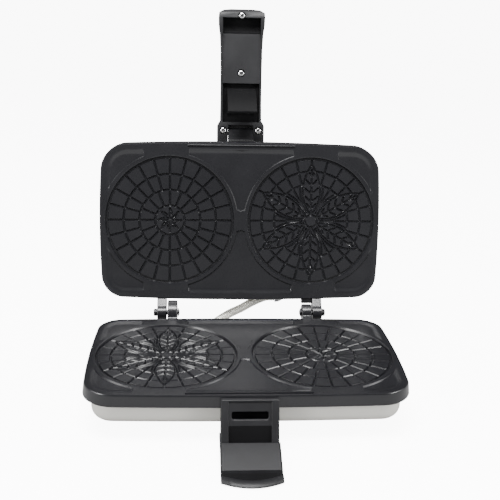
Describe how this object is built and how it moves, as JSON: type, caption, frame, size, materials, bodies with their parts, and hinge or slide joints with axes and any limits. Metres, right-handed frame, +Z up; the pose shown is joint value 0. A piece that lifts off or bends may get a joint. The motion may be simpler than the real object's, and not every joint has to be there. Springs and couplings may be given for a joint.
{
  "type": "waffle cone maker",
  "caption": "Tabletop two-disc cone and wafer iron, shown open: cast patterned plates, thin metal shells, rear hinges, a long latch arm on the lid and a keeper with a grip on the base.",
  "frame": {"origin": "under the middle of the whole object as it stands open, at table height", "axes": "+X to the user's right, -Y towards the user, +Z up"},
  "size_m": [0.28, 0.3296, 0.3351],
  "materials": {
    "nonstick": "cast, dark non-stick coating",
    "silver_shell": "silver satin",
    "black_plastic": "fine moulded texture",
    "steel": "plated",
    "dark_steel": "blackened",
    "reflector": "bright rolled",
    "heater": "heat tinted",
    "rubber": "matte",
    "conduit": "ribbed, plated",
    "lens_red": "clear coloured",
    "lens_green": "clear coloured",
    "heat_resin": "matte"
  },
  "bodies": {
    "base": {"base_plate": "nonstick", "base_shell": "silver_shell", "bottom_cover": "black_plastic", "cover_screw_1": "steel", "cover_screw_2": "steel", "cover_screw_3": "steel", "cover_screw_4": "steel", "front_foot_left": "rubber", "front_foot_right": "rubber", "rear_leg_left": "black_plastic", "rear_leg_right": "black_plastic", "rear_pad_left": "rubber", "rear_pad_right": "rubber", "hinge_pin_left": "dark_steel", "hinge_pin_right": "dark_steel", "hinge_clip_left": "dark_steel", "hinge_clip_right": "dark_steel", "latch_keeper": "black_plastic", "lower_grip": "black_plastic", "grip_screw_left": "steel", "grip_screw_right": "steel", "lower_heater_left": "heater", "lower_heater_right": "heater", "lower_reflector": "reflector", "thermostat": "heat_resin", "thermal_fuse": "steel", "terminal_block": "heat_resin", "cord_inlet": "black_plastic", "base_ferrule": "steel", "conduit": "conduit"},
    "lid": {"lid_plate": "nonstick", "lid_shell": "silver_shell", "upper_heater_left": "heater", "upper_heater_right": "heater", "upper_reflector": "reflector", "power_lens": "lens_red", "ready_lens": "lens_green", "power_lamp": "heat_resin", "ready_lamp": "heat_resin", "lid_elbow": "steel", "latch_mount": "black_plastic", "mount_screw_left": "steel", "mount_screw_right": "steel"},
    "arm": {"arm_tray": "black_plastic", "arm_cover": "black_plastic", "latch_tongue": "black_plastic", "arm_pin": "steel", "ear_screw_left": "steel", "ear_screw_right": "steel", "tongue_screw_left": "steel", "tongue_screw_right": "steel", "floor_screw": "steel", "tip_screw": "steel"}
  },
  "joints": [
    {"name": "lid_hinge", "type": "hinge", "parent": "base", "child": "lid", "pos_m": [0, 0.0679, 0.0465], "axis": [1, 0, 0], "range_deg": [0, 102], "deforming": ["conduit"]},
    {"name": "latch_arm_hinge", "type": "hinge", "parent": "lid", "child": "arm", "pos_m": [0, 0.13439, 0.21455], "axis": [1, 0, 0], "range_deg": [0, 33]}
  ]
}
